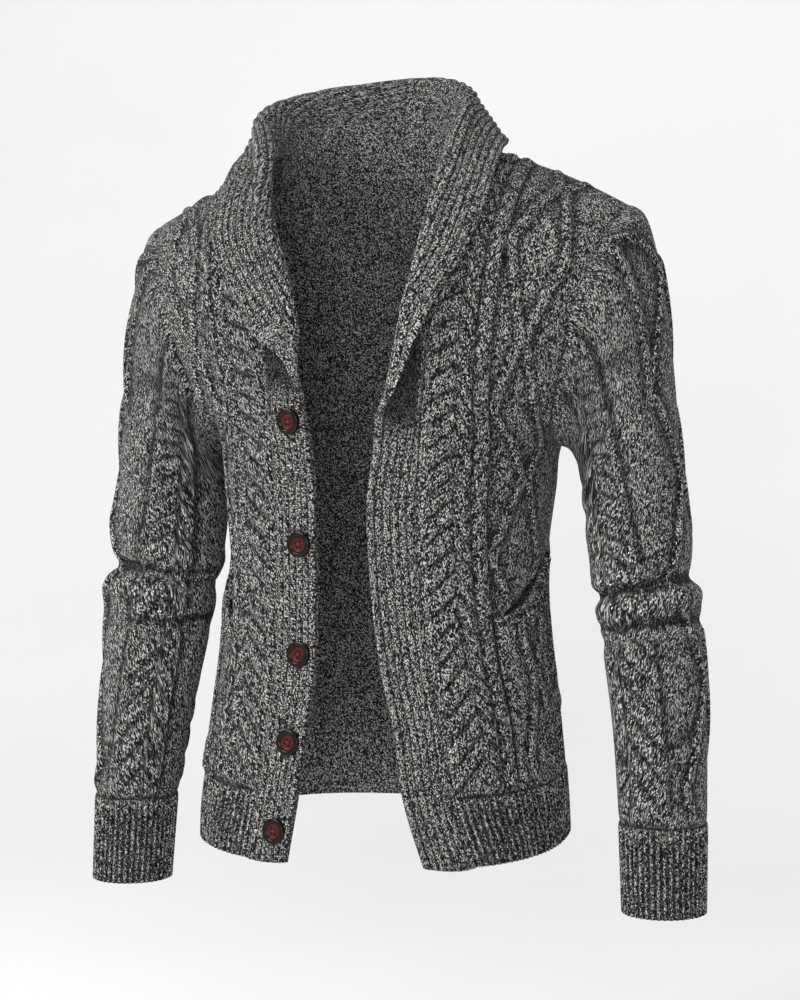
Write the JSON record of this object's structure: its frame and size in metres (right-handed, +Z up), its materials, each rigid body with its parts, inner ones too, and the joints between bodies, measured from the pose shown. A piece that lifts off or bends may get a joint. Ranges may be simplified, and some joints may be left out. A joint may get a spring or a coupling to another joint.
{
  "type": "shawl collar cardigan",
  "caption": "Marled cable-knit cardigan worn open and hollow, with a ribbed shawl collar folded over into button bands, ribbed hem and cuffs, and slanted side pockets.",
  "frame": {"origin": "middle of the neck base, at the height where the shoulder seams meet the neck: where the wearer holds the garment up", "axes": "+Z up along the wearer, -Y towards the front, +X towards the wearer's left"},
  "size_m": [0.5926, 0.2686, 0.7724],
  "materials": {
    "cable_knit": "marled charcoal and light grey cable knit",
    "rib_knit": "marled charcoal and light grey rib knit",
    "button": "dark brown horn look, glossy rim and dished middle"
  },
  "bodies": {
    "root": {"back": "cable_knit", "front_right": "cable_knit", "front_left": "cable_knit", "sleeve_right": "cable_knit", "sleeve_left": "cable_knit", "pocket_right": "cable_knit", "pocket_left": "cable_knit", "hem_back": "rib_knit", "hem_front_right": "rib_knit", "hem_front_left": "rib_knit", "cuff_right": "rib_knit", "cuff_left": "rib_knit", "collar_right": "rib_knit", "collar_left": "rib_knit", "button_1": "button", "button_2": "button", "button_3": "button", "button_4": "button", "button_5": "button"}
  },
  "joints": []
}
